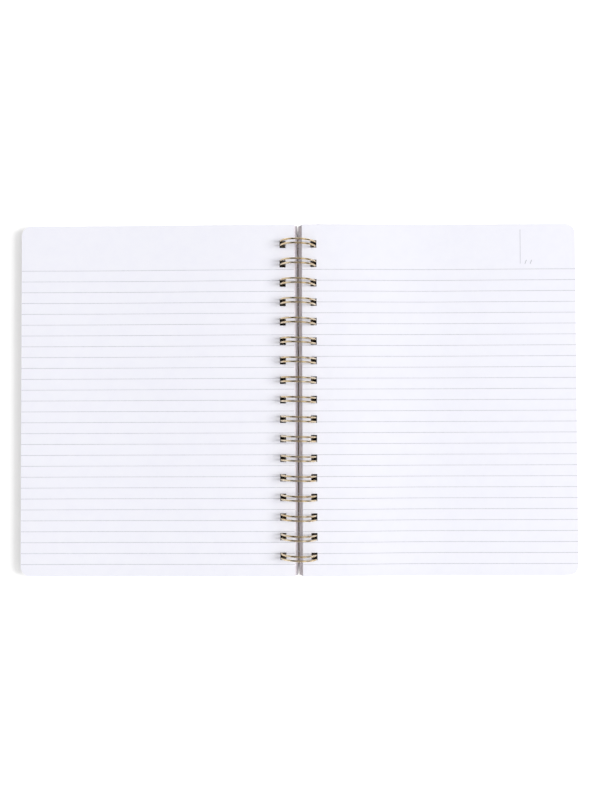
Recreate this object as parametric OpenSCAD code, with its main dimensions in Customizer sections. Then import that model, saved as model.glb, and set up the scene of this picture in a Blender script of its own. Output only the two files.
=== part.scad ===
// Open spiral notebook: ruled sheets and two card covers on a twin-loop wire.
// It lies open on a table. X runs to the right-hand page, Y to the head of the pages, Z up.
// The origin is on the table under the middle of the wire.

/* [Sheets] */
// Width of a sheet, from its spine edge to its fore edge
page_w = 178.7; // [130:0.1:240]
// Height of a sheet, along the spine
page_h = 229.4; // [120:0.1:320]
// Radius of the two corners at the fore edge
corner_r = 6.35; // [1:0.05:15]
// Thickness of one sheet
paper_t = 0.1; // [0.06:0.005:0.14]
// Sheets that lie turned over on the left
left_sheets = 70; // [5:1:100]
// Sheets that lie on the right
right_sheets = 80; // [5:1:100]

/* [Punched holes] */
// Distance from one hole to the next
hole_pitch = 12.7; // [10.5:0.05:16]
// Width of a hole, across the spine
hole_w = 3.9; // [3.6:0.1:5.5]
// Room on each side of a loop's two strands, along the spine
strand_play = 0.55; // [0.3:0.05:1]
// Strip left between the spine edge and the holes
hole_margin = 5.5; // [3.5:0.1:6.5]
// Least distance from a sheet's end to the middle of its first hole
end_margin = 10; // [8:0.5:16]

/* [Covers] */
// Thickness of the card
cover_t = 0.6; // [0.3:0.05:1.5]
// How far the covers' spine edges stand past the lowest sheets
cover_lip = 0.7; // [0:0.05:1.2]
// Slit between the spine edges of the two covers
spine_slit = 0.7; // [0.4:0.05:2]

/* [Twin-loop wire] */
// Diameter of the wire
wire_d = 1.2; // [0.8:0.05:1.6]
// Inside diameter of the closed loops
loop_d = 21.1; // [18:0.05:28]
// Distance between the two strands of a loop
strand_pitch = 2.7; // [2:0.05:3.4]
// Radius of the bends where the strands turn along the spine
base_bend_r = 2.2; // [1.2:0.05:3]
// Straight stretch of a strand before each bend
foot_run = 0.5; // [0.2:0.05:1]
// Gap between the tip of a loop and the bends that it closes on
seam_gap = 0.3; // [0.2:0.05:0.8]
// Least gap between a strand and the ends of its holes
wire_clear = 0.3; // [0.3:0.05:0.6]

/* [How it lies] */
// Strip of the front cover at its fore edge that lies flat on the table
left_flat_w = 28; // [10:1:110]
// Strip of the back cover at its fore edge that lies flat on the table
right_flat_w = 84; // [10:1:110]
// How far air lifts the left-hand sheets
left_loft = 1; // [0:0.1:3]
// How far in from the fore edge that lift is highest, on the left
left_loft_in = 0; // [0:1:60]
// How far the lift reaches to each side, on the left
left_loft_span = 140; // [10:1:160]
// How far air lifts the right-hand sheets
right_loft = 2.5; // [0:0.1:3]
// How far in from the fore edge that lift is highest, on the right
right_loft_in = 0; // [0:1:60]
// How far the lift reaches to each side, on the right
right_loft_span = 150; // [10:1:160]
// Width of the level strip between the holes and the start of the bend
level_strip_w = 2; // [1:0.5:10]

/* [Hidden] */

bend_steps = 16; // facets along each bent stretch of a cover or a page
corner_steps = 12; // facets round a corner
lean_steps = 10; // facets of a stack's spine edge, where it leans round the ring
past = 2; // how far a cutting solid runs past what it cuts
slab = 0.01; // thickness of the slabs that a leaning outline is spanned between
lap = 10; // angle by which a strand's two arcs lap past the top of the ring
wire_facets = 24;
ring_facets = 96;

card = [0.78, 0.73, 0.70];
paper = [0.96, 0.96, 0.98];
gold = [0.80, 0.68, 0.46];

// The wire: a ring of two strands for each hole, closed at the bottom
ring_r = loop_d / 2 + wire_d / 2;
tip_r = strand_pitch / 2;
foot = foot_run + base_bend_r; // from the ring to the base line
base_turn = atan(foot / ring_r);
ring_z = ring_r / cos(base_turn) + wire_d / 2;
base_angle = -90 + base_turn;
tip_back = sqrt(pow(tip_r + base_bend_r + wire_d + seam_gap, 2) - pow(tip_r + base_bend_r, 2)) - base_bend_r;
tip_angle = 270 - atan((foot_run + tip_back) / ring_r);
base_run = hole_pitch - strand_pitch - 2 * base_bend_r;

// The holes: as many as fit on the sheet's height
hole_h = strand_pitch + wire_d + 2 * strand_play;
hole_count = floor((page_h - 2 * end_margin) / hole_pitch) + 1;
function hole_y(i) = (i - (hole_count - 1) / 2) * hole_pitch;

// Inside keep_in and outside keep_out the strands leave room for card and paper
keep_in = ring_r - wire_d / 2 - wire_clear;
keep_out = ring_r + wire_d / 2 + wire_clear;

// The covers' level at the spine is where the inner ends of their holes meet keep_in
cover_edge = spine_slit / 2;
cover_hole = cover_edge + hole_margin;
spine_level = ring_z - sqrt(pow(keep_in, 2) - pow(cover_hole, 2));

// The sheets' spine edges lean back round the ring, as far as keep_out needs at each height
left_stack = left_sheets * paper_t;
right_stack = right_sheets * paper_t;
stack_foot = spine_level + cover_t;
spine_top = stack_foot + max(left_stack, right_stack);
low_edge = cover_edge + cover_lip;
function edge_at(z) = max(low_edge, sqrt(pow(keep_out, 2) - pow(ring_z - z, 2)) - hole_w - hole_margin);
function leaning_edge(stack) =
    [for (i = [0:lean_steps]) let (z = stack_foot + stack * i / lean_steps) [edge_at(z), z]];
top_edge = edge_at(spine_top);

level_u = top_edge + hole_margin + hole_w + level_strip_w;
fore_u = top_edge + page_w;

// Stations across the page: the spine, the bent stretch, then the flat strip and a little past it
function stations(flat_w) = concat(
    [0],
    [for (i = [0:bend_steps]) level_u + (fore_u - flat_w - level_u) * i / bend_steps],
    [for (i = [1:bend_steps]) fore_u - flat_w + flat_w * i / bend_steps],
    [fore_u + past]
);

// From 1 down to 0 in a half wave
function ease(t) = t <= 0 ? 1 : t >= 1 ? 0 : (1 + cos(180 * t)) / 2;
function cover_under(u, flat_w) = spine_level * ease((u - level_u) / (fore_u - flat_w - level_u));
function cover_top(u, flat_w) = cover_under(u, flat_w) + cover_t;
function lift(u, loft, loft_in, span) = loft * ease(abs(u - fore_u + loft_in) / span);
function page_top(u, flat_w, stack, loft, loft_in, span) =
    cover_top(u, flat_w) + stack + lift(u, loft, loft_in, span);

// Stands an outline drawn across the spine up along it
module along_spine(length) rotate([90, 0, 0]) linear_extrude(length, center = true) children();

// A sheet seen from above, running from a spine edge to its rounded fore corners
module sheet_outline(from_u, to_u) {
    turn = 90 / corner_steps;
    corner = [to_u - corner_r, page_h / 2 - corner_r];
    polygon(concat(
        [[from_u, -page_h / 2]],
        [for (i = [0:corner_steps]) [corner.x, -corner.y] + corner_r * [sin(turn * i), -cos(turn * i)]],
        [for (i = [0:corner_steps]) corner + corner_r * [cos(turn * i), sin(turn * i)]],
        [[from_u, page_h / 2]]
    ));
}

// Where an edge that leans from the point low to the point high stands at the height z
function leaning(low, high, z) = low.x + (high.x - low.x) * (z - low.y) / (high.y - low.y);

// The holes, whose inner ends follow a line from below upwards
module hole_row(inner) {
    top = len(inner) - 1;
    line = concat([inner[0] - [0, past]], inner, [inner[top] + [0, past]]);
    for (i = [0:hole_count - 1])
        translate([0, hole_y(i), 0])
            along_spine(hole_h)
                polygon(concat(line, [for (j = [top + 2:-1:0]) line[j] + [hole_w, 0]]));
}

// Room for a stack whose rounded fore edge leans from the point low to the point high
module fore_room(low, high) {
    top_z = spine_top + past;
    hull() {
        translate([0, 0, -past]) linear_extrude(slab) sheet_outline(-past, leaning(low, high, -past));
        translate([0, 0, top_z]) linear_extrude(slab) sheet_outline(-past, leaning(low, high, top_z));
    }
}

// A card cover, bent up to the wire at the spine and flat on the table at its fore edge
module cover(flat_w) {
    across = stations(flat_w);
    color(card)
    difference() {
        intersection() {
            along_spine(page_h + past)
                polygon(concat(
                    [for (u = across) [u, cover_under(u, flat_w)]],
                    [for (i = [len(across) - 1:-1:0]) [across[i], cover_top(across[i], flat_w)]]
                ));
            translate([0, 0, -past])
                linear_extrude(stack_foot + 2 * past)
                    sheet_outline(cover_edge, cover_edge + page_w);
        }
        hole_row([[cover_hole, spine_level], [cover_hole, stack_foot]]);
    }
}

// A stack of sheets on its cover: the spine edges, the holes and the fore edges all lean alike
module pages(flat_w, stack, loft, loft_in, span) {
    across = [for (u = stations(flat_w)) if (u > top_edge) u];
    edge = leaning_edge(stack);
    color(paper)
    difference() {
        intersection() {
            along_spine(page_h + past)
                polygon(concat(
                    [edge[0]],
                    [for (u = across) [u, cover_top(u, flat_w)]],
                    [for (i = [len(across) - 1:-1:0])
                        [across[i], page_top(across[i], flat_w, stack, loft, loft_in, span)]],
                    [for (i = [lean_steps:-1:1]) edge[i]]
                ));
            fore_room(
                [low_edge + page_w, cover_t],
                [fore_u, page_top(fore_u, flat_w, stack, loft, loft_in, span)]
            );
        }
        hole_row([for (point = edge) point + [hole_margin, 0]]);
    }
}

module front_cover() mirror([1, 0, 0]) cover(left_flat_w);

module back_cover() cover(right_flat_w);

module left_pages()
    mirror([1, 0, 0]) pages(left_flat_w, left_stack, left_loft, left_loft_in, left_loft_span);

module right_pages() pages(right_flat_w, right_stack, right_loft, right_loft_in, right_loft_span);

// Moves to a point on the ring, with local X outwards, Y along the spine and Z along the ring
module on_ring(angle)
    translate([0, 0, ring_z]) rotate([0, -angle, 0]) translate([ring_r, 0, 0]) children();

// A bend in the plane that touches the ring, swept about a middle at y, z
module flat_bend(y, z, radius, from, sweep)
    translate([0, y, z])
        rotate([0, 90, 0])
            rotate_extrude(start = from, angle = sweep, $fn = ring_facets)
                translate([radius, 0]) circle(d = wire_d, $fn = wire_facets);

// An arc of the ring at y, measured from the angle where it meets the straight wire
module ring_arc(y, at, from, sweep)
    translate([0, 0, ring_z]) rotate([0, -at, 0]) translate([0, y, 0]) rotate([90, 0, 0])
        rotate_extrude(start = from, angle = sweep, $fn = ring_facets)
            translate([ring_r, 0]) circle(d = wire_d, $fn = wire_facets);

// One strand of a loop, from the base round over the top to the tip, as two arcs that lap there
module strand(y) {
    base_sweep = 90 + lap - base_angle;
    tip_sweep = tip_angle - 90 + lap;
    ring_arc(y, base_angle, 0, base_sweep);
    ring_arc(y, tip_angle, -tip_sweep, tip_sweep);
}

// The straight stretch between a strand and a bend
module foot_wire(y, z) translate([0, y, z]) cylinder(h = foot_run, d = wire_d, $fn = wire_facets);

// One loop: two strands, the tip that joins them, and the bends at their feet
module loop(y) {
    for (side = [-1, 1]) {
        strand(y + side * tip_r);
        on_ring(tip_angle) foot_wire(y + side * tip_r, 0);
        on_ring(base_angle) foot_wire(y + side * tip_r, -foot_run);
    }
    on_ring(tip_angle) flat_bend(y, foot_run, tip_r, 90, 180);
    on_ring(base_angle) {
        flat_bend(y - tip_r - base_bend_r, -foot_run, base_bend_r, 0, 90);
        flat_bend(y + tip_r + base_bend_r, -foot_run, base_bend_r, -90, 90);
    }
}

// The straight wire along the base, from y on
module base_wire(y, length)
    on_ring(base_angle)
        translate([0, y, -foot])
            rotate([-90, 0, 0]) cylinder(h = length, d = wire_d, $fn = wire_facets);

// One wire, bent to and fro through every loop, and cut midway between two loops at each end
module binding_wire() {
    bend_end = tip_r + base_bend_r;
    color(gold)
    union() {
        for (i = [0:hole_count - 1]) loop(hole_y(i));
        for (i = [0:hole_count - 2]) base_wire(hole_y(i) + bend_end, base_run);
        base_wire(hole_y(0) - bend_end - base_run / 2, base_run / 2);
        base_wire(hole_y(hole_count - 1) + bend_end, base_run / 2);
    }
}

front_cover();
left_pages();
right_pages();
back_cover();
binding_wire();
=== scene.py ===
# Open spiral notebook, dressed for its picture: card covers, ruled sheets and a gold twin-loop wire.
import math

import bmesh
import bpy
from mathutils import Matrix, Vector


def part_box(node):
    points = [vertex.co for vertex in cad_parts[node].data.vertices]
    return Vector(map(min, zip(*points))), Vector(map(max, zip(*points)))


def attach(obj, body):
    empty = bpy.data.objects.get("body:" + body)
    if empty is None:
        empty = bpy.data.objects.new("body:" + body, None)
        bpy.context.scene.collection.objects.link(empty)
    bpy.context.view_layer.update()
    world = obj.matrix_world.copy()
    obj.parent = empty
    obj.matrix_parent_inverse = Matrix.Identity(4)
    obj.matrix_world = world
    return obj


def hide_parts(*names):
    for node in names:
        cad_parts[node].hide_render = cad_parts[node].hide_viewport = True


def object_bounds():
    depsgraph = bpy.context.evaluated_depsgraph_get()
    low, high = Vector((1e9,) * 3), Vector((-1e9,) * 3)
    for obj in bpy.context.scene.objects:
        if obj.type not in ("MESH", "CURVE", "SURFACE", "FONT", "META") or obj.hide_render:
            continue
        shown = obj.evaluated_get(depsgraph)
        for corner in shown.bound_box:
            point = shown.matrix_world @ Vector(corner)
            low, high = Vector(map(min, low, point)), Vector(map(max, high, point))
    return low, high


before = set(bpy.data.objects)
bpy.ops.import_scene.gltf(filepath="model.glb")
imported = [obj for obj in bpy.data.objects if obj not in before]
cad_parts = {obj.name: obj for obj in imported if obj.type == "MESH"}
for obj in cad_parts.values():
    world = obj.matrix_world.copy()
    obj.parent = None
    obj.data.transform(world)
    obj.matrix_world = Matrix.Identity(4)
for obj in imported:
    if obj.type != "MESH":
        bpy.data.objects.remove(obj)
cad_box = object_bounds()
MM = 0.001


# Covers: two sheets of uncoated grey-brown card, die-cut with round fore corners and punched like the
# sheets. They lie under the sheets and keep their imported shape.
card_pale = "#C8BCB5"
card_deep = "#BFB2AA"
card_cloud = 9 * MM  # soft patches from the pulp
card_fibre = 0.6 * MM  # flecks of fibre, coarser than real ones so that they show
card_relief = 0.04 * MM


def linear(code):
    """A colour written as sRGB hex, as the linear one that shaders take."""
    parts = [int(code[i:i + 2], 16) / 255 for i in (1, 3, 5)]
    return [c / 12.92 if c <= 0.04045 else ((c + 0.055) / 1.055) ** 2.4 for c in parts] + [1.0]


def add(tree, kind, inputs=None, stops=(), **settings):
    """Adds a node with its settings. inputs gives a socket its value, or the node or output before it."""
    made = tree.nodes.new(kind)
    for name, value in settings.items():
        setattr(made, name, value)
    for socket, given in (inputs or {}).items():
        given = given.outputs[0] if isinstance(given, bpy.types.Node) else given
        if isinstance(given, bpy.types.NodeSocket):
            tree.links.new(given, made.inputs[socket])
        else:
            made.inputs[socket].default_value = given
    for stop, (place, colour) in enumerate(stops):
        if stop >= len(made.color_ramp.elements):
            made.color_ramp.elements.new(place)
        made.color_ramp.elements[stop].position = place
        made.color_ramp.elements[stop].color = colour
    return made


def new_finish(name, roughness, metallic=0.0):
    """A material with this roughness, its node tree, its shader, and the piece's own coordinates."""
    material = bpy.data.materials.new(name)
    material.use_nodes = True
    tree = material.node_tree
    shader = tree.nodes["Principled BSDF"]
    shader.inputs["Roughness"].default_value = roughness
    shader.inputs["Metallic"].default_value = metallic
    return material, tree, shader, add(tree, "ShaderNodeTexCoord").outputs["Object"]


# Uncoated pulp card: matt, slightly cloudy, with short fibres that catch the light at a low angle.
card, tree, shader, place = new_finish("uncoated_card", 0.9)
cloud = add(tree, "ShaderNodeTexNoise", {"Vector": place, "Scale": 1 / card_cloud, "Detail": 3.0})
fibre = add(tree, "ShaderNodeTexNoise",
            {"Vector": place, "Scale": 1 / card_fibre, "Detail": 4.0, "Roughness": 0.6})
both = add(tree, "ShaderNodeMath", {0: cloud, 1: fibre}, operation="ADD")
mean = add(tree, "ShaderNodeMath", {0: both, 1: 0.5}, operation="MULTIPLY")
shade = add(tree, "ShaderNodeValToRGB", {0: mean},
            stops=[(0.38, linear(card_deep)), (0.62, linear(card_pale))])
relief = add(tree, "ShaderNodeBump", {"Height": fibre, "Strength": 0.5, "Distance": card_relief})
tree.links.new(shade.outputs[0], shader.inputs["Base Color"])
tree.links.new(relief.outputs[0], shader.inputs["Normal"])

for cover in ("front_cover", "back_cover"):
    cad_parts[cover].material_slots[0].material = card


# Sheets: 150 leaves of smooth white writing paper, punched, and trimmed to round fore corners. 70 lie
# turned over on the left and 80 on the right. Each leaf is modelled, and they lie loose on the wire.
left_sheets = 70
right_sheets = 80
sheet_pitch = 0.1 * MM
sheet_t = 0.088 * MM  # a little air is left between the leaves
corner_r = 6.35 * MM
hole_w = 3.9 * MM
hole_h = 5.0 * MM
hole_margin = 5.5 * MM  # from the spine edge to the holes
hole_pitch = 12.7 * MM
hole_count = 17
level_strip_w = 2 * MM  # past the holes, before the bend
card_t = 0.6 * MM
ring_up = 12.072 * MM  # the middle of the wire's rings, above the table
holes_from_ring = 12.05 * MM  # from there to the outer ends of the holes, all the way up
scatter = 0.14 * MM  # how far the loose leaves lie out of line
scatter_seed = 7
uneven_air = 0.45  # of the air between two leaves
bend_strips = 30
corner_strips = 6
sharp_edge = math.radians(30)
# The hole and spine marks carry painted shade, and the hole mark also takes a covered leaf's strip past its
# holes
edge_wall, hole_wall, spine_wall = 1, 2, 3  # marks for a leaf's cut walls, 0 for its faces
paper_white = "#F6F6FE"
paper_soft = "#F4F4FD"
paper_cloud = 7 * MM  # the uneven look of the pulp against the light
paper_fibre = 0.5 * MM  # coarser than real fibres so that they show
paper_fibre_depth = 0.012 * MM
paper_cockle = 70 * MM  # slow waves that damp air leaves in a loose leaf
paper_cockle_depth = 0.4 * MM
leaf_edge_grain = 0.8 * MM  # patches of leaves that lie closer or looser
# Cut edges: the paper greyed with painted shade
edge_pale = "#D5CECC"
edge_deep = "#BDB4B2"
# Painted shade at the loose spine edges, tinted warm with a painted bounce of light
spine_pale = "#E6D0C7"
spine_deep = "#D2BBB2"
# Painted shade, near-black, for the hole walls and the covered strips seen deep in the holes
hole_pale = "#241F1D"
hole_deep = "#141110"

low_edge = 0.45 * MM  # the lowest leaf's spine edge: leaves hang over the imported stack's foot a little
fore_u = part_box("right_pages")[1].x  # the top leaf's fore edge
page_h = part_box("right_pages")[1].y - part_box("right_pages")[0].y - 2 * scatter
spine_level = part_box("back_cover")[1].z - card_t
page_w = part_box("back_cover")[1].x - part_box("back_cover")[0].x
top_edge = fore_u - page_w  # the top leaf's spine edge
level_w = hole_margin + hole_w + level_strip_w

# How each side lies, as packed: the strip that lies flat, and how far air lifts the leaves and where
sides = {
    "left": dict(side=-1, body="front_half", sheets=left_sheets,
                 flat=28 * MM, loft=1.0 * MM, reach=140 * MM),
    "right": dict(side=1, body="back_half", sheets=right_sheets,
                  flat=84 * MM, loft=2.5 * MM, reach=150 * MM),
}


def hole_y(i):
    """The middle of a hole, along the spine."""
    return (i - (hole_count - 1) / 2) * hole_pitch


def across_the_page():
    """Where a leaf's strips meet, from its spine edge to its fore edge."""
    bend_end = page_w - corner_r
    bends = [level_w + (bend_end - level_w) * i / bend_strips for i in range(bend_strips + 1)]
    turns = [math.pi / 2 * i / corner_strips for i in range(1, corner_strips + 1)]
    corner = [bend_end + corner_r * math.sin(a) for a in turns]
    return [0, hole_margin, hole_margin + hole_w] + bends + corner


def half_height(u):
    """Half a leaf's height at u from its spine edge, less at the round corners."""
    past = max(0, u - (page_w - corner_r))
    return page_h / 2 - corner_r + math.sqrt(max(0, corner_r ** 2 - past ** 2))


def thicken(shape, depth):
    """Gives flat faces a thickness downwards and closes them all round, with sharp rims."""
    copied = bmesh.ops.extrude_face_region(shape, geom=shape.faces[:])["geom"]
    lower = [part for part in copied if isinstance(part, bmesh.types.BMVert)]
    bmesh.ops.translate(shape, verts=lower, vec=(0, 0, -depth))
    bmesh.ops.recalc_face_normals(shape, faces=shape.faces)
    for face in shape.faces:
        face.smooth = True
    for edge in shape.edges:
        edge.smooth = edge.calc_face_angle() < sharp_edge


def sheet_blank(side, covered):
    """One flat punched leaf, with its spine edge and its underside at 0, and its cut walls marked.
    On a covered leaf, the strip past its holes is marked like them and gets their painted shade, since
    it shows deep in the holes above. The ends of those strips also show, as a painted dark band on the
    head and foot of a stack."""
    shape = bmesh.new()
    wall = shape.faces.layers.int.new("wall")
    edges = [hole_y(i) + end * hole_h / 2 for i in range(hole_count) for end in (-1, 1)]
    columns = []
    for n, u in enumerate(across_the_page()):
        rows = [-half_height(u)] + (edges if n in (1, 2) else []) + [half_height(u)]
        columns.append([shape.verts.new((side * u, y, sheet_t)) for y in rows])
    for n, (near, far) in enumerate(zip(columns, columns[1:])):
        if n == 1:
            for row in range(0, len(near), 2):
                shape.faces.new((near[row], near[row + 1], far[row + 1], far[row]))
        else:
            shape.faces.new(near + far[::-1])
    thicken(shape, sheet_t)
    last_hole_end = hole_y(hole_count - 1) + hole_h / 2
    for face in shape.faces:
        middle = face.calc_center_median()
        u = middle.x * side
        among_holes = hole_margin <= u <= hole_margin + hole_w and abs(middle.y) <= last_hole_end + MM
        if abs(face.normal.z) > 0.5:
            # Painted shade on a covered leaf's strip past the holes, which shows deep in the holes above
            face[wall] = hole_wall if covered and hole_margin + hole_w < u < level_w else 0
        elif u < scatter:
            face[wall] = spine_wall
        else:
            face[wall] = hole_wall if among_holes else edge_wall
    mesh = bpy.data.meshes.new("sheet_blank")
    shape.to_mesh(mesh)
    shape.free()
    return mesh


def half_wave(tree, value, start, end):
    """1 up to start and 0 past end, with half a cosine wave between them."""
    turn = add(tree, "ShaderNodeMapRange",
               {"Value": value, "From Min": start, "From Max": end, "To Max": math.pi})
    wave = add(tree, "ShaderNodeMath", {0: turn}, operation="COSINE")
    return add(tree, "ShaderNodeMath", {0: wave, 1: 0.5, 2: 0.5}, operation="MULTIPLY_ADD")


# The tree that lays flat leaves one above another on a cover, bent as the cover is and lifted by air
lay = bpy.data.node_groups.new("lay_on_the_cover", "GeometryNodeTree")
for name, kind in (
    ("Blank", "Geometry"), ("Copies", "Int"), ("Side", "Float"), ("First leaf", "Float"),
    ("Leaves", "Float"), ("Leaf pitch", "Float"), ("Low edge", "Float"), ("Ring up", "Float"),
    ("Holes from ring", "Float"), ("Hole reach", "Float"), ("Spine level", "Float"), ("Card", "Float"),
    ("Bend from", "Float"), ("Bend to", "Float"), ("Loft", "Float"), ("Loft at", "Float"),
    ("Loft reach", "Float"), ("Uneven air", "Float"), ("Scatter", "Float"), ("Seed", "Int"),
    ("Finish", "Material"), ("Edge finish", "Material"), ("Hole finish", "Material"),
    ("Spine finish", "Material"),
):
    lay.interface.new_socket(name, in_out="INPUT", socket_type="NodeSocket" + kind)
lay.interface.new_socket("Laid", in_out="OUTPUT", socket_type="NodeSocketGeometry")
given = lay.nodes.new("NodeGroupInput").outputs
number = add(lay, "GeometryNodeInputIndex")
number = add(lay, "ShaderNodeMath", {0: number, 1: given["First leaf"]}, operation="ADD")
spots = add(lay, "GeometryNodeMeshLine", {"Count": given["Copies"], "Offset": (0, 0, 0)}, mode="OFFSET")
spots = add(lay, "GeometryNodeStoreNamedAttribute", {"Geometry": spots, "Name": "leaf", "Value": number},
            data_type="FLOAT", domain="POINT")
leaves = add(lay, "GeometryNodeInstanceOnPoints", {"Points": spots, "Instance": given["Blank"]})
leaves = add(lay, "GeometryNodeRealizeInstances", {"Geometry": leaves})
leaf = add(lay, "GeometryNodeInputNamedAttribute", {"Name": "leaf"}, data_type="FLOAT")
flat = add(lay, "ShaderNodeSeparateXYZ", {0: add(lay, "GeometryNodeInputPosition")}).outputs
chance = add(lay, "FunctionNodeRandomValue",
             {"Min": (-1, -1, -1), "Max": (1, 1, 1), "ID": leaf, "Seed": given["Seed"]},
             data_type="FLOAT_VECTOR")
chance = add(lay, "ShaderNodeSeparateXYZ", {0: chance}).outputs
# The spine edges follow the ring, whose wire stands at the outer ends of the holes, at each leaf's height
level = add(lay, "ShaderNodeMath", {0: given["Spine level"], 1: given["Card"]}, operation="ADD")
level = add(lay, "ShaderNodeMath", {0: leaf, 1: given["Leaf pitch"], 2: level}, operation="MULTIPLY_ADD")
below = add(lay, "ShaderNodeMath", {0: given["Ring up"], 1: level}, operation="SUBTRACT")
below = add(lay, "ShaderNodeMath", {0: below, 1: 2.0}, operation="POWER")
far = add(lay, "ShaderNodeMath", {0: given["Holes from ring"], 1: 2.0}, operation="POWER")
far = add(lay, "ShaderNodeMath", {0: far, 1: below}, operation="SUBTRACT")
far = add(lay, "ShaderNodeMath", {0: far, 1: 0.5}, operation="POWER")
edge = add(lay, "ShaderNodeMath", {0: far, 1: given["Hole reach"]}, operation="SUBTRACT")
edge = add(lay, "ShaderNodeMath", {0: edge, 1: given["Low edge"]}, operation="MAXIMUM")
# Each leaf may lie a little nearer the spine
pull = add(lay, "ShaderNodeMath", {0: chance["X"], 1: 0.5, 2: -0.5}, operation="MULTIPLY_ADD")
edge = add(lay, "ShaderNodeMath", {0: pull, 1: given["Scatter"], 2: edge}, operation="MULTIPLY_ADD")
across = add(lay, "ShaderNodeMath", {0: flat["X"], 1: given["Side"], 2: edge}, operation="MULTIPLY_ADD")
along = add(lay, "ShaderNodeMath", {0: chance["Y"], 1: given["Scatter"], 2: flat["Y"]},
            operation="MULTIPLY_ADD")
# The height: the bent card, the leaves below, and the air, which opens the leaves a little unevenly
bend = half_wave(lay, across, given["Bend from"], given["Bend to"])
base = add(lay, "ShaderNodeMath", {0: bend, 1: given["Spine level"], 2: given["Card"]},
           operation="MULTIPLY_ADD")
base = add(lay, "ShaderNodeMath", {0: leaf, 1: given["Leaf pitch"], 2: base}, operation="MULTIPLY_ADD")
away = add(lay, "ShaderNodeMath", {0: across, 1: given["Loft at"]}, operation="SUBTRACT")
away = add(lay, "ShaderNodeMath", {0: away}, operation="ABSOLUTE")
lift = half_wave(lay, away, 0.0, given["Loft reach"])
lift = add(lay, "ShaderNodeMath", {0: lift, 1: given["Loft"]}, operation="MULTIPLY")
share = add(lay, "ShaderNodeMath", {0: chance["Z"], 1: given["Uneven air"], 2: leaf},
            operation="MULTIPLY_ADD")
share = add(lay, "ShaderNodeMath", {0: share, 1: 1.0}, operation="ADD")
share = add(lay, "ShaderNodeMath", {0: share, 1: given["Leaves"]}, operation="DIVIDE")
height = add(lay, "ShaderNodeMath", {0: lift, 1: share, 2: base}, operation="MULTIPLY_ADD")
height = add(lay, "ShaderNodeMath", {0: height, 1: flat["Z"]}, operation="ADD")
across = add(lay, "ShaderNodeMath", {0: across, 1: given["Side"]}, operation="MULTIPLY")
laid = add(lay, "ShaderNodeCombineXYZ", {"X": across, "Y": along, "Z": height})
leaves = add(lay, "GeometryNodeSetPosition", {"Geometry": leaves, "Position": laid})
leaves = add(lay, "GeometryNodeSetMaterial", {"Geometry": leaves, "Material": given["Finish"]})
wall = add(lay, "GeometryNodeInputNamedAttribute", {"Name": "wall"}, data_type="INT").outputs["Attribute"]
for mark, dressing in ((edge_wall, "Edge finish"), (hole_wall, "Hole finish"), (spine_wall, "Spine finish")):
    chosen = add(lay, "FunctionNodeCompare", {2: wall, 3: mark}, data_type="INT", operation="EQUAL")
    leaves = add(lay, "GeometryNodeSetMaterial",
                 {"Geometry": leaves, "Selection": chosen, "Material": given[dressing]})
add(lay, "NodeGroupOutput", {"Laid": leaves})


def made_by(tree, name, blank, body, **sizes):
    """Runs a tree on a blank mesh and returns the plain piece that it makes, which rides on a body."""
    start = bpy.data.objects.new(name + "_blank", blank)
    bpy.context.scene.collection.objects.link(start)
    modifier = start.modifiers.new("shape", "NODES")
    modifier.node_group = tree
    for item in tree.interface.items_tree:
        value = sizes.get(item.name.lower().replace(" ", "_"))
        if value is not None:
            modifier[item.identifier] = value
    view = bpy.context.evaluated_depsgraph_get()
    made = start.evaluated_get(view)
    mesh = bpy.data.meshes.new_from_object(made, preserve_all_data_layers=True, depsgraph=view)
    bpy.data.objects.remove(start)
    mesh.name = name
    piece = bpy.data.objects.new(name, mesh)
    bpy.context.scene.collection.objects.link(piece)
    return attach(piece, body) or piece


def lay_on_cover(name, side, blank, finishes, copies, first):
    """Lays copies of a blank on a side's cover. finishes: faces, cut edges, painted hole and spine shade."""
    lies = sides[side]
    return made_by(
        lay, name, blank, lies["body"],
        copies=copies, side=float(lies["side"]), first_leaf=float(first), leaves=float(lies["sheets"]),
        leaf_pitch=sheet_pitch, low_edge=low_edge, ring_up=ring_up, holes_from_ring=holes_from_ring,
        hole_reach=hole_margin + hole_w, spine_level=spine_level, card=card_t,
        bend_from=top_edge + level_w, bend_to=fore_u - lies["flat"],
        loft=lies["loft"], loft_at=fore_u, loft_reach=lies["reach"], uneven_air=uneven_air,
        scatter=scatter, seed=scatter_seed + lies["side"],
        finish=finishes[0], edge_finish=finishes[1], hole_finish=finishes[2], spine_finish=finishes[3])


# Calendered writing paper: a cool white, matt and nearly smooth, with faint clouds and slow waves.
paper, tree, shader, place = new_finish("writing_paper", 0.85)
cloud = add(tree, "ShaderNodeTexNoise",
            {"Vector": place, "Scale": 1 / paper_cloud, "Detail": 4.0, "Roughness": 0.6})
shade = add(tree, "ShaderNodeValToRGB", {0: cloud},
            stops=[(0.35, linear(paper_soft)), (0.65, linear(paper_white))])
cockle = add(tree, "ShaderNodeTexNoise", {"Vector": place, "Scale": 1 / paper_cockle, "Detail": 1.0})
waves = add(tree, "ShaderNodeBump", {"Height": cockle, "Strength": 1.0, "Distance": paper_cockle_depth})
fibre = add(tree, "ShaderNodeTexNoise", {"Vector": place, "Scale": 1 / paper_fibre, "Detail": 3.0})
relief = add(tree, "ShaderNodeBump",
             {"Height": fibre, "Strength": 0.4, "Distance": paper_fibre_depth, "Normal": waves})
tree.links.new(shade.outputs[0], shader.inputs["Base Color"])
tree.links.new(relief.outputs[0], shader.inputs["Normal"])

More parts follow.
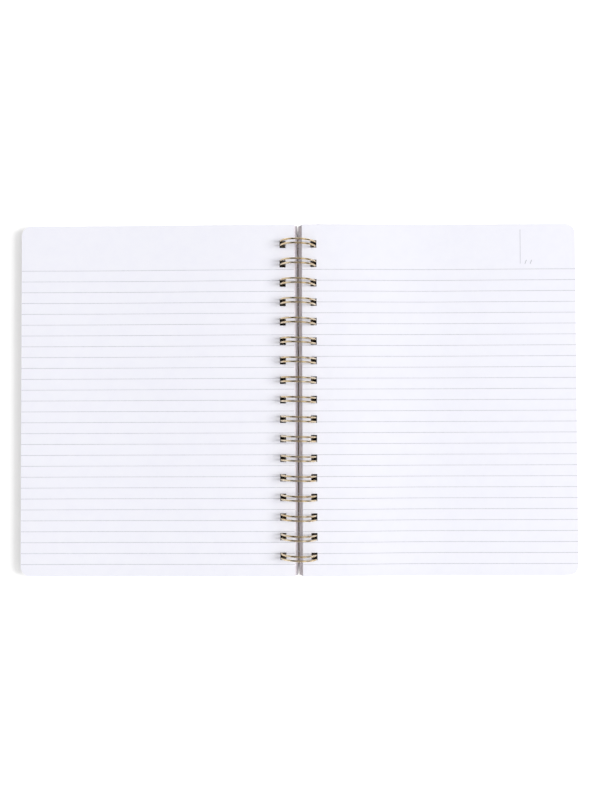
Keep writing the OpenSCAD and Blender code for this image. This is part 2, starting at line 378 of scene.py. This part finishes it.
# Cut edges of the leaves: the same paper greyed with painted shade, as light sinks in between the leaves.
# At the spine the painted shade is warmer, with a warm painted bounce of light. From deep in the punched
# holes hardly any light comes back, so their walls are near-black painted shade.
edges = []
for name, pale, deep in (
    ("cut_paper_edge", edge_pale, edge_deep),
    ("punched_edge", hole_pale, hole_deep),
    ("loose_spine_edge", spine_pale, spine_deep),
):
    finish, tree, shader, place = new_finish(name, 0.9)
    layers = add(tree, "ShaderNodeTexNoise", {"Vector": place, "Scale": 1 / leaf_edge_grain, "Detail": 3.0})
    shade = add(tree, "ShaderNodeValToRGB", {0: layers}, stops=[(0.3, linear(deep)), (0.7, linear(pale))])
    tree.links.new(shade.outputs[0], shader.inputs["Base Color"])
    edges.append(finish)

for side, lies in sides.items():
    under = sheet_blank(lies["side"], covered=True)
    stack = lay_on_cover(side + "_sheets", side, under, [paper] + edges, lies["sheets"] - 1, 0)
    over = sheet_blank(lies["side"], covered=False)
    top = lay_on_cover(side + "_top_sheet", side, over, [paper] + edges, 1, lies["sheets"] - 1)
    for piece in (stack, top):
        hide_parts(side + "_pages")


# Ruling: 28 fine grey lines printed on each page from edge to edge, 7.1 mm apart, and on the right a
# date field, set off by a short upright rule. Two plain strokes stand where a date's parts are divided.
line_w = 0.25 * MM
line_pitch = 7.102 * MM
line_count = 28
head_margin = 29.72 * MM
ink_t = 0.02 * MM  # thicker than real ink so that it stays clear of the paper in any viewer
ink_depth = 1.5 * ink_t  # down to inside the leaf
ink_grain = 1.5 * MM
field_rule_at = 145.4 * MM
field_rule = (88.5 * MM, 111.0 * MM)
stroke_at = (148.2 * MM, 151.6 * MM)
stroke_from = 88.4 * MM
stroke_w = 0.45 * MM
stroke_h = 2.6 * MM
stroke_lean = 1.0 * MM
ink_grey = "#C1C1CA"
ink_deep = "#AFAFBA"


def ink_blank(side, with_date):
    """The printing of one page, as flat strips of ink that stand just proud of the leaf."""
    shape = bmesh.new()
    strips = across_the_page()

    def patch(corners):
        shape.faces.new([shape.verts.new((side * u, y, sheet_t + ink_t)) for u, y in corners])

    def line(y, from_u, to_u):
        stops = [from_u] + [u for u in strips if from_u < u < to_u] + [to_u]
        low = [shape.verts.new((side * u, y - line_w / 2, sheet_t + ink_t)) for u in stops]
        high = [shape.verts.new((side * u, y + line_w / 2, sheet_t + ink_t)) for u in stops]
        for n in range(len(stops) - 1):
            shape.faces.new((low[n], low[n + 1], high[n + 1], high[n]))

    for n in range(line_count):
        y = cad_box[1].y - head_margin - n * line_pitch
        nearest = hole_y(round(y / hole_pitch + (hole_count - 1) / 2))
        if abs(y - nearest) < (hole_h + line_w) / 2:
            line(y, 0, hole_margin)
            line(y, hole_margin + hole_w, page_w)
        else:
            line(y, 0, page_w)
    if with_date:
        rule = field_rule_at - top_edge
        patch([(rule - line_w / 2, field_rule[0]), (rule + line_w / 2, field_rule[0]),
               (rule + line_w / 2, field_rule[1]), (rule - line_w / 2, field_rule[1])])
        for at in stroke_at:
            foot = at - top_edge
            head = foot + stroke_lean
            patch([(foot, stroke_from), (foot + stroke_w, stroke_from),
                   (head + stroke_w, stroke_from + stroke_h), (head, stroke_from + stroke_h)])
    thicken(shape, ink_depth)
    mesh = bpy.data.meshes.new("ink_blank")
    shape.to_mesh(mesh)
    shape.free()
    return mesh


# Offset ink: thin and matt, a little uneven where the paper's fibres took less of it.
ink, tree, shader, place = new_finish("offset_ink", 0.7)
uneven = add(tree, "ShaderNodeTexNoise", {"Vector": place, "Scale": 1 / ink_grain, "Detail": 3.0})
shade = add(tree, "ShaderNodeValToRGB", {0: uneven},
            stops=[(0.35, linear(ink_deep)), (0.65, linear(ink_grey))])
tree.links.new(shade.outputs[0], shader.inputs["Base Color"])

for side, lies in sides.items():
    printing = ink_blank(lies["side"], with_date=side == "right")
    lay_on_cover(side + "_ruling", side, printing, [ink] * 4, 1, lies["sheets"] - 1)


# Binding wire: one steel wire, gold-plated and polished, bent to and fro by machine into 17 twin
# loops. It goes through the holes from below and is pressed shut, so its tips meet the base bends.
wire_d = 1.2 * MM
ring_r = 11.15 * MM
strand_pitch = 2.7 * MM
base_bend_r = 2.2 * MM
foot_run = 0.5 * MM
seam_gap = 0.3 * MM
lean = 0.4 * MM  # the shut loops stand out of square, left side this far to the head, right side to the foot
ring_step = math.radians(4.5)
bend_step = math.radians(12)
end_rim = math.radians(40)  # sharper edges than this stay sharp
round_steps = 16
facet_sag = 0.02 * MM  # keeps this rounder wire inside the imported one, whose facets lie a little deeper
tint_patch = 6 * MM
gloss_range = (0.12, 0.24)  # roughness, from the bright marks to the dull ones
gold_pale = "#EFDFC0"
gold_deep = "#E2C99C"
draw_mark = 0.16 * MM  # width of the marks that drawing leaves along a wire, coarser than real
draw_length = 9 * MM
draw_depth = 0.01 * MM

tip_r = strand_pitch / 2
foot = foot_run + base_bend_r
base_turn = math.atan(foot / ring_r)
ring_z = ring_r / math.cos(base_turn) + wire_d / 2
base_angle = base_turn - math.pi / 2
shut_r = tip_r + base_bend_r
tip_back = math.sqrt((shut_r + wire_d + seam_gap) ** 2 - shut_r ** 2) - base_bend_r
tip_angle = 1.5 * math.pi - math.atan((foot_run + tip_back) / ring_r)


def off_ring(angle, y, s):
    """A point s past the ring's angle, along the line that touches the ring there."""
    x = ring_r * math.cos(angle) - s * math.sin(angle)
    return Vector((x, y - lean * x / ring_r, ring_z + ring_r * math.sin(angle) + s * math.cos(angle)))


def steps(start, end, step):
    """Even steps from start to end, about this long."""
    count = max(1, round(abs(end - start) / step))
    return [start + (end - start) * i / count for i in range(count + 1)]


def bend(angle, y, s, radius, start, end):
    """A bend in the plane that touches the ring at the angle, about a middle at y and s."""
    turns = steps(start, end, bend_step)
    return [off_ring(angle, y + radius * math.cos(a), s + radius * math.sin(a)) for a in turns]


def loop_path(y):
    """The middle of the wire through one loop: base bend, strand, tip, strand, base bend."""
    quarter = math.pi / 2
    strand = steps(base_angle, tip_angle, ring_step)
    return (
        bend(base_angle, y - shut_r, -foot_run, base_bend_r, -quarter, 0)
        + [off_ring(a, y - tip_r, 0) for a in strand]
        + bend(tip_angle, y, foot_run, tip_r, 2 * quarter, 0)
        + [off_ring(a, y + tip_r, 0) for a in reversed(strand)]
        + bend(base_angle, y + shut_r, -foot_run, base_bend_r, -2 * quarter, -quarter)
    )


route = [off_ring(base_angle, hole_y(0) - hole_pitch / 2, -foot)]
for i in range(hole_count):
    route += loop_path(hole_y(i))
route.append(off_ring(base_angle, hole_y(hole_count - 1) + hole_pitch / 2, -foot))
path = bpy.data.meshes.new("wire_path")
path.from_pydata(route, [(i, i + 1) for i in range(len(route) - 1)], [])

# The tree that draws the wire along its path, and keeps where each point lies on it for the finish
draw = bpy.data.node_groups.new("draw_wire", "GeometryNodeTree")
for name, kind in (
    ("Path", "Geometry"), ("Radius", "Float"), ("Round steps", "Int"), ("Mark length", "Float"),
    ("Mark width", "Float"), ("Finish", "Material"),
):
    draw.interface.new_socket(name, in_out="INPUT", socket_type="NodeSocket" + kind)
draw.interface.new_socket("Wire", in_out="OUTPUT", socket_type="NodeSocketGeometry")
given = draw.nodes.new("NodeGroupInput").outputs
middle = add(draw, "GeometryNodeMeshToCurve", {"Mesh": given["Path"]})
run = add(draw, "GeometryNodeSplineParameter").outputs["Length"]
middle = add(draw, "GeometryNodeStoreNamedAttribute", {"Geometry": middle, "Name": "along", "Value": run},
             data_type="FLOAT", domain="POINT")
around = add(draw, "GeometryNodeCurvePrimitiveCircle",
             {"Resolution": given["Round steps"], "Radius": given["Radius"]}, mode="RADIUS")
rim = add(draw, "GeometryNodeInputPosition")
around = add(draw, "GeometryNodeStoreNamedAttribute", {"Geometry": around, "Name": "around", "Value": rim},
             data_type="FLOAT_VECTOR", domain="POINT")
wire = add(draw, "GeometryNodeCurveToMesh", {"Curve": middle, "Profile Curve": around, "Fill Caps": True})
length = add(draw, "GeometryNodeInputNamedAttribute", {"Name": "along"}, data_type="FLOAT")
length = add(draw, "ShaderNodeMath", {0: length, 1: given["Mark length"]}, operation="DIVIDE")
across = add(draw, "GeometryNodeInputNamedAttribute", {"Name": "around"}, data_type="FLOAT_VECTOR")
width = add(draw, "ShaderNodeMath", {0: 1.0, 1: given["Mark width"]}, operation="DIVIDE")
across = add(draw, "ShaderNodeVectorMath", {0: across, "Scale": width}, operation="SCALE")
length = add(draw, "ShaderNodeCombineXYZ", {"Z": length})
grain = add(draw, "ShaderNodeVectorMath", {0: across, 1: length}, operation="ADD")
wire = add(draw, "GeometryNodeStoreNamedAttribute", {"Geometry": wire, "Name": "grain", "Value": grain},
           data_type="FLOAT_VECTOR", domain="POINT")
wire = add(draw, "GeometryNodeRealizeInstances", {"Geometry": wire})
wire = add(draw, "GeometryNodeSetMaterial", {"Geometry": wire, "Material": given["Finish"]})
add(draw, "NodeGroupOutput", {"Wire": wire})

# Gold plating on drawn steel wire: bright metal, with fine marks along the wire that spread the highlight.
gold, tree, shader, place = new_finish("plated_wire", 0.3, metallic=1.0)
grain = add(tree, "ShaderNodeAttribute", attribute_name="grain").outputs["Vector"]
marks = add(tree, "ShaderNodeTexNoise", {"Vector": grain, "Scale": 1.0, "Detail": 3.0, "Roughness": 0.6})
tint = add(tree, "ShaderNodeTexNoise", {"Vector": place, "Scale": 1 / tint_patch, "Detail": 2.0})
shade = add(tree, "ShaderNodeValToRGB", {0: tint},
            stops=[(0.35, linear(gold_deep)), (0.65, linear(gold_pale))])
gloss = add(tree, "ShaderNodeMapRange", {"Value": marks, "From Min": 0.3, "From Max": 0.7,
                                         "To Min": gloss_range[0], "To Max": gloss_range[1]})
relief = add(tree, "ShaderNodeBump", {"Height": marks, "Strength": 0.25, "Distance": draw_depth})
tree.links.new(shade.outputs[0], shader.inputs["Base Color"])
tree.links.new(gloss.outputs[0], shader.inputs["Roughness"])
tree.links.new(relief.outputs[0], shader.inputs["Normal"])

wire = made_by(draw, "twin_loop_wire", path, "wire", radius=wire_d / 2 - facet_sag, round_steps=round_steps,
               mark_length=draw_length, mark_width=draw_mark, finish=gold)
wire.data.shade_smooth()
wire.data.set_sharp_from_angle(angle=end_rim)
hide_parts("binding_wire")


# Table: a wide white sweep. It gives back light as pale card does, and glows to the eye, so that it shows
# pure white away from the notebook's shadow. Under the wire it has no glow, so the slit and holes look dark.
table_half = 4.0  # metres
table_white = "#F4F4F4"
shade_glow = 0.235  # to the left of the notebook, where its shadow lies
plain_glow = 0.6
glow_change = (-181 * MM, -176 * MM)
shadow_room = (0.26, 0.45)  # within the first radius the shadow shows in full, past the second all is white
under_wire = (14 * MM, 114.6 * MM)  # half the width and length of the stretch without glow
glow_rim = 0.95  # the glow comes back between this share of them and the whole

shape = bmesh.new()
corners = ((-1, -1), (1, -1), (1, 1), (-1, 1))
shape.faces.new([shape.verts.new((x * table_half, y * table_half, 0)) for x, y in corners])
mesh = bpy.data.meshes.new("table")
shape.to_mesh(mesh)
shape.free()
table = bpy.data.objects.new("table", mesh)
bpy.context.scene.collection.objects.link(table)

sweep, tree, shader, place = new_finish("white_sweep", 0.9)
tree.nodes.remove(shader)
rays = add(tree, "ShaderNodeLightPath").outputs
seen = add(tree, "ShaderNodeMath", {0: rays["Is Camera Ray"], 1: rays["Is Glossy Ray"]}, operation="MAXIMUM")
seen = add(tree, "ShaderNodeMath", {0: seen, 1: rays["Is Transmission Ray"]}, operation="MAXIMUM")
spot = add(tree, "ShaderNodeSeparateXYZ", {0: place}).outputs
glow = add(tree, "ShaderNodeMapRange",
           {"Value": spot["X"], "From Min": glow_change[0], "From Max": glow_change[1],
            "To Min": shade_glow, "To Max": plain_glow})
off = add(tree, "ShaderNodeVectorMath", {0: place, 1: (1 / under_wire[0], 1 / under_wire[1], 0)},
          operation="MULTIPLY")
off = add(tree, "ShaderNodeVectorMath", {0: off}, operation="ABSOLUTE")
off = add(tree, "ShaderNodeSeparateXYZ", {0: off}).outputs
off = add(tree, "ShaderNodeMath", {0: off["X"], 1: off["Y"]}, operation="MAXIMUM")
open_table = add(tree, "ShaderNodeMapRange", {"Value": off, "From Min": glow_rim, "From Max": 1.0})
glow = add(tree, "ShaderNodeMath", {0: glow, 1: open_table}, operation="MULTIPLY")
glow = add(tree, "ShaderNodeMath", {0: glow, 1: seen}, operation="MULTIPLY")
cloth = add(tree, "ShaderNodeBsdfDiffuse", {"Color": linear(table_white)})
near = add(tree, "ShaderNodeAddShader", {0: cloth, 1: add(tree, "ShaderNodeEmission", {"Strength": glow})})
reach = add(tree, "ShaderNodeVectorMath", {0: place}, operation="LENGTH").outputs["Value"]
far = add(tree, "ShaderNodeMapRange",
          {"Value": reach, "From Min": shadow_room[0], "From Max": shadow_room[1]})
far = add(tree, "ShaderNodeMath", {0: far, 1: seen}, operation="MULTIPLY")
pure = add(tree, "ShaderNodeEmission", {"Strength": 1.0})
whole = add(tree, "ShaderNodeMixShader", {0: far, 1: near, 2: pure})
tree.links.new(whole.outputs[0], tree.nodes["Material Output"].inputs["Surface"])
mesh.materials.append(sweep)


# Room: strips of light and dark cloth hung along the spine, from the left horizon over to the right one,
# give the wire its dark and bright stretches, and darken towards both ends of the room. A soft box on the
# right casts the shadows, and a wide lamp overhead lights the pages evenly.
strips = (  # how far to the right, and how bright there
    (-1.0, 0.8), (-0.95, 0.7), (-0.8, 0.75), (-0.72, 0.5), (-0.64, 0.0), (-0.5, 0.0), (-0.4, 0.2),
    (-0.3, 0.42), (0.0, 0.46), (0.27, 0.42), (0.35, 0.6), (0.45, 1.2), (0.56, 1.3), (0.64, 1.1),
    (0.72, 0.6), (0.8, 0.0), (0.95, 0.0), (1.0, 0.6),
)
dark_ends = (0.45, 0.85)  # how far towards the ends the strips keep their level, and where they are dark
end_level = 0.25  # of a strip's level, past that
box_from = Vector((4.388, 0, 4.092))
box_size = (1.68, 2.34)
box_watts = 205.0
overhead_from = Vector((0, -1.0, 3.0))
overhead_size = (4.0, 4.0)
overhead_watts = 36.5

world = bpy.data.worlds.new("studio")
bpy.context.scene.world = world
world.use_nodes = True
tree = world.node_tree
look = add(tree, "ShaderNodeSeparateXYZ", {0: add(tree, "ShaderNodeTexCoord").outputs["Generated"]}).outputs
side = add(tree, "ShaderNodeMath", {0: look["X"], 1: 0.5, 2: 0.5}, operation="MULTIPLY_ADD")
room = add(tree, "ShaderNodeValToRGB", {0: side},
           stops=[((x + 1) / 2, (level, level, level, 1)) for x, level in strips])
end = add(tree, "ShaderNodeMath", {0: look["Y"]}, operation="ABSOLUTE")
end = add(tree, "ShaderNodeMapRange", {"Value": end, "From Min": dark_ends[0], "From Max": dark_ends[1],
                                       "To Min": 1.0, "To Max": end_level})
hung = add(tree, "ShaderNodeVectorMath", {0: room, "Scale": end}, operation="SCALE")
seen = add(tree, "ShaderNodeLightPath").outputs["Is Camera Ray"]  # the camera sees a white room
shown = add(tree, "ShaderNodeMix", {"Factor": seen, "A": hung, "B": (1, 1, 1)}, data_type="VECTOR")
tree.links.new(shown.outputs["Result"], tree.nodes["Background"].inputs["Color"])

for name, size, watts, place in (
    ("soft_box", box_size, box_watts, box_from),
    ("overhead", overhead_size, overhead_watts, overhead_from),
):
    lamp = bpy.data.lights.new(name, "AREA")
    lamp.shape = "RECTANGLE"
    lamp.size, lamp.size_y = size
    lamp.energy = watts
    source = bpy.data.objects.new(name, lamp)
    source.location = place
    source.rotation_euler = (-place).to_track_quat("-Z", "Y").to_euler()
    source.visible_glossy = False
    bpy.context.scene.collection.objects.link(source)


# Camera: high above the spine, 14 mm towards the foot of the pages and 1 mm to the right, and tipped to
# look back at the middle of the spine. It is turned a little, as the notebook lies in the picture.
camera_x = 1.0 * MM
camera_reach = 593 * MM
camera_tip = math.radians(1.35)
focal_length = 40.22  # on the 36 mm that the long side takes
camera_turn = math.radians(-0.2)

camera = bpy.data.objects.new("camera", bpy.data.cameras.new("camera"))
camera.data.lens = focal_length
camera.data.sensor_width = 36
camera.location = (camera_x, -camera_reach * math.sin(camera_tip), camera_reach * math.cos(camera_tip))
camera.rotation_euler = (camera_tip, 0, camera_turn)
bpy.context.scene.collection.objects.link(camera)
bpy.context.scene.camera = camera
bpy.context.scene.view_settings.view_transform = "Standard"
